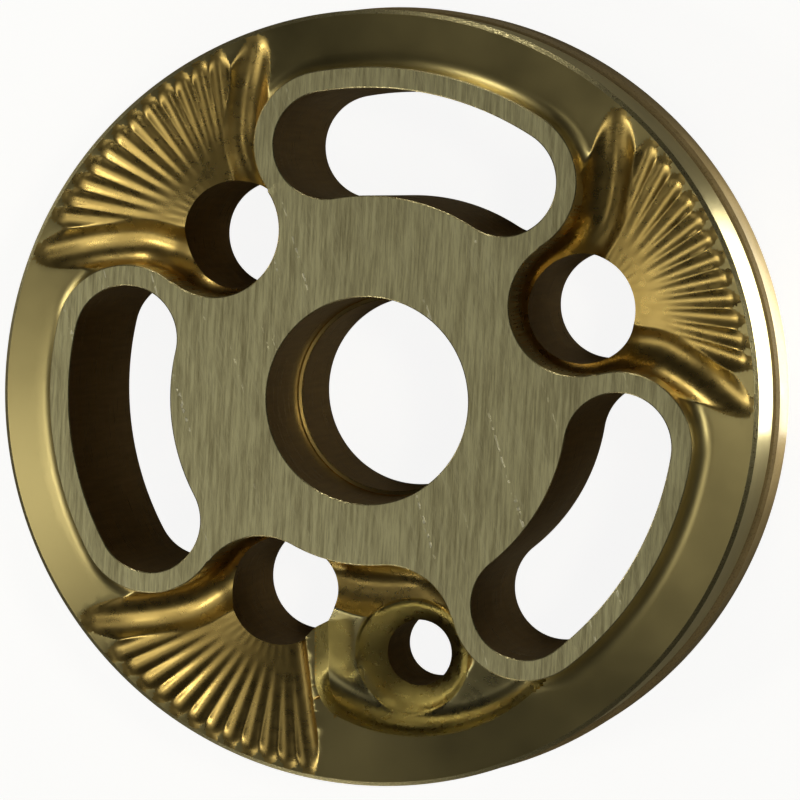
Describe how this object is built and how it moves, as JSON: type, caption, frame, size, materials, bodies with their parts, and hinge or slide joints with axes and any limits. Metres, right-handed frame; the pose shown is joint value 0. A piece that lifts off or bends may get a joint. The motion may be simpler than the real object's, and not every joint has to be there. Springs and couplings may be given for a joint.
{
  "type": "damper piston",
  "caption": "Round damper piston with kidney ports in raised lobes, fluted feed ports, a bleed hole in a side recess, and a split guide band backed by an O-ring.",
  "frame": {"origin": "on the bore axis, in the plane of the rear seat", "axes": "+Z along the bore axis towards the front seat with its raised lobes; +X across the body, with the first feed port at 24 degrees towards +Y"},
  "size_m": [0.0458, 0.0458, 0.0135],
  "materials": {
    "brass": "turned and milled, with a lapped front seat",
    "filled_ptfe": "satin, bronze filled",
    "rubber": "moulded, oiled"
  },
  "bodies": {
    "piston": {"piston_body": "brass", "band_energiser": "rubber"},
    "band": {"piston_band": "filled_ptfe"}
  },
  "joints": [
    {"name": "band_turn", "type": "hinge", "parent": "piston", "child": "band", "pos_m": [0, 0, 0.0046], "axis": [0, 0, 1], "continuous": true}
  ]
}
